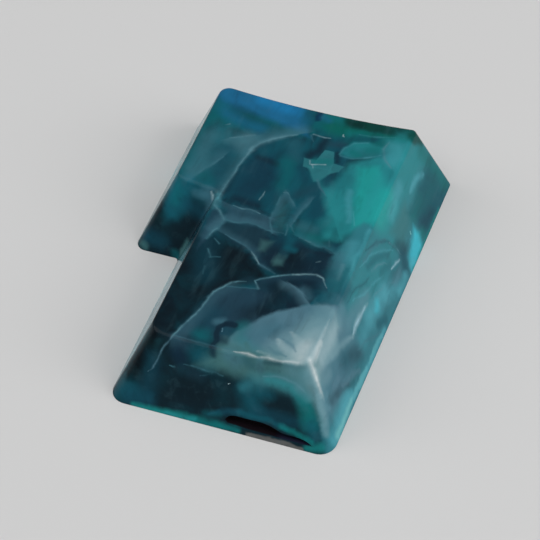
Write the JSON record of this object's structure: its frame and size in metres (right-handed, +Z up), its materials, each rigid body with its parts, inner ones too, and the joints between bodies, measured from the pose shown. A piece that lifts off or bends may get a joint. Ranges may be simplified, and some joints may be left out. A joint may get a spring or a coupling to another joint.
{
  "type": "artisan keycap",
  "caption": "Stepped two-row keyboard cap in marbled resin: leaning walls, dished top, hollow underside with cross-socket stems for a switch and its stabiliser.",
  "frame": {"origin": "on the switch axis, in the plane of the rim", "axes": "+X to the right, +Y to the back of the keyboard, +Z up through the dished top"},
  "size_m": [0.0276, 0.0376, 0.0077],
  "materials": {
    "resin": "polished cast resin, marbled teal, navy and white"
  },
  "bodies": {
    "root": {"keycap": "resin"}
  },
  "joints": []
}
